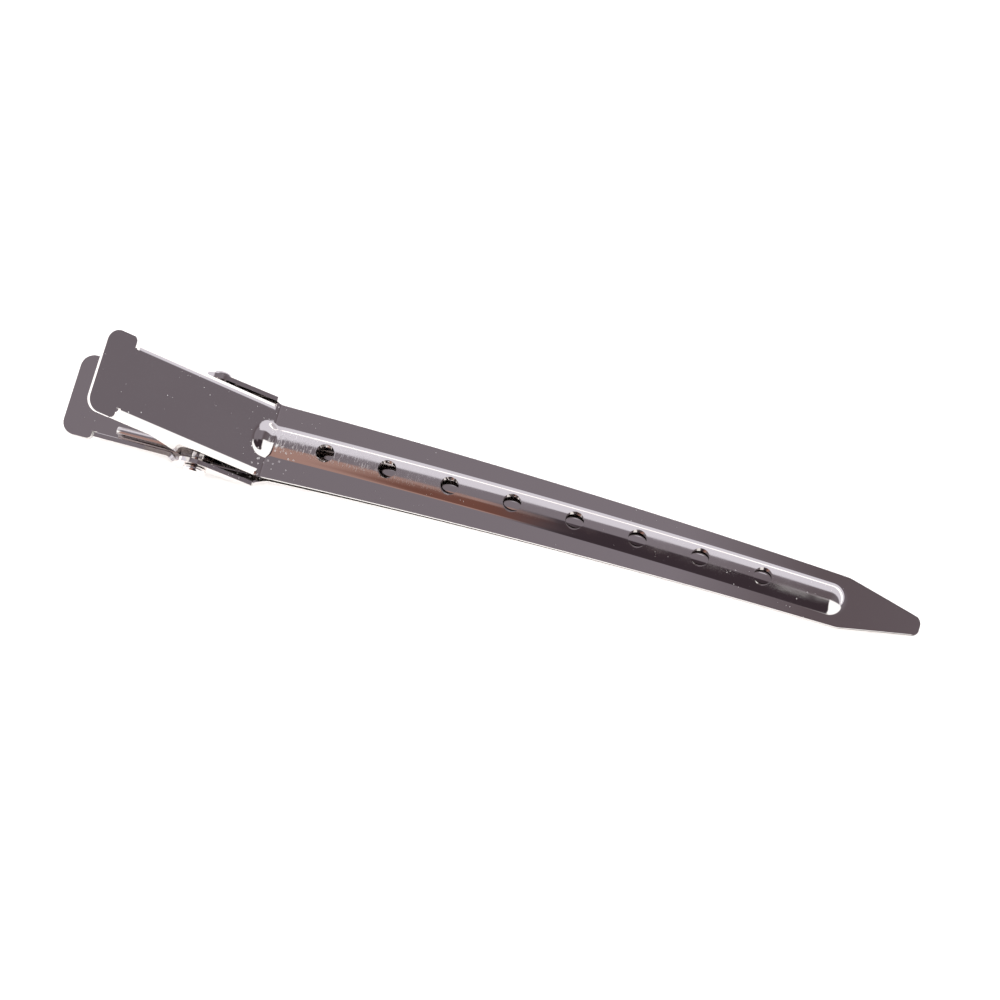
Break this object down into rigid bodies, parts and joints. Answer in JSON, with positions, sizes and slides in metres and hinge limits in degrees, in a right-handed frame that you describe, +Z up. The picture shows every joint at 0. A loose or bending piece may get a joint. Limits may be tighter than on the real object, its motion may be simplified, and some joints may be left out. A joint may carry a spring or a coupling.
{
  "type": "duckbill hair clip",
  "caption": "Long sprung hair clip of stamped sheet with tapering ribbed blades, the upper one pierced, hinged on a pin and squeezed open at thumb tabs.",
  "frame": {"origin": "middle of the clip's footprint, on the surface that it lies on", "axes": "+X toward the tip of the blades, +Z up, +Y to the side that faces away in the picture"},
  "size_m": [0.0906, 0.011, 0.0167],
  "materials": {
    "plated_sheet": "bright nickel plate on stamped steel sheet",
    "plated_pin": "bright nickel plate on a steel pin",
    "spring_wire": "bright drawn spring wire"
  },
  "bodies": {
    "lower": {"lower_jaw": "plated_sheet", "pivot_pin": "plated_pin", "torsion_spring": "spring_wire"},
    "upper": {"upper_jaw": "plated_sheet"}
  },
  "joints": [
    {"name": "jaw_hinge", "type": "hinge", "parent": "lower", "child": "upper", "pos_m": [-0.03018, 0, 0.0039], "axis": [0, -1, 0], "range_deg": [0, 52], "stiffness_Nm_per_rad": 0.05, "deforming": ["torsion_spring"]}
  ]
}
